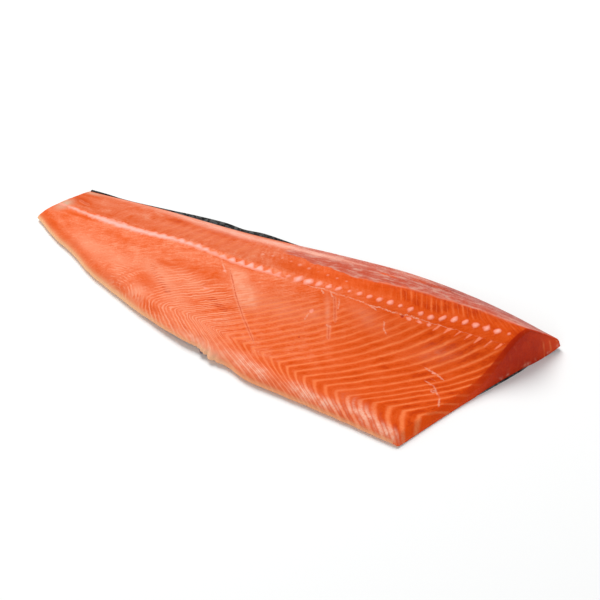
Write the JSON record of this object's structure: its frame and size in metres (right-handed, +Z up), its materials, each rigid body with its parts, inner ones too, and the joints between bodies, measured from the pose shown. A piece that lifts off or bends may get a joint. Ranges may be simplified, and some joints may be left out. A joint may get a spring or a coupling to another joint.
{
  "type": "raw salmon fillet",
  "caption": "Whole skin-on side of raw salmon lying skin side down, with a thin belly flap, a raised loin and a slanted head cut.",
  "frame": {"origin": "middle of the underside, on the surface that the fillet lies on", "axes": "+X along the fillet towards the head cut, +Y towards the back of the fish, +Z up from the skin to the flesh"},
  "size_m": [0.566, 0.2022, 0.037],
  "materials": {
    "flesh": "wet, translucent orange flesh with pale chevron lines of connective tissue",
    "skin": "wet scaled skin, near black along the back, silver on the side and pearl white at the belly"
  },
  "bodies": {
    "root": {"flesh": "flesh", "skin": "skin"}
  },
  "joints": []
}
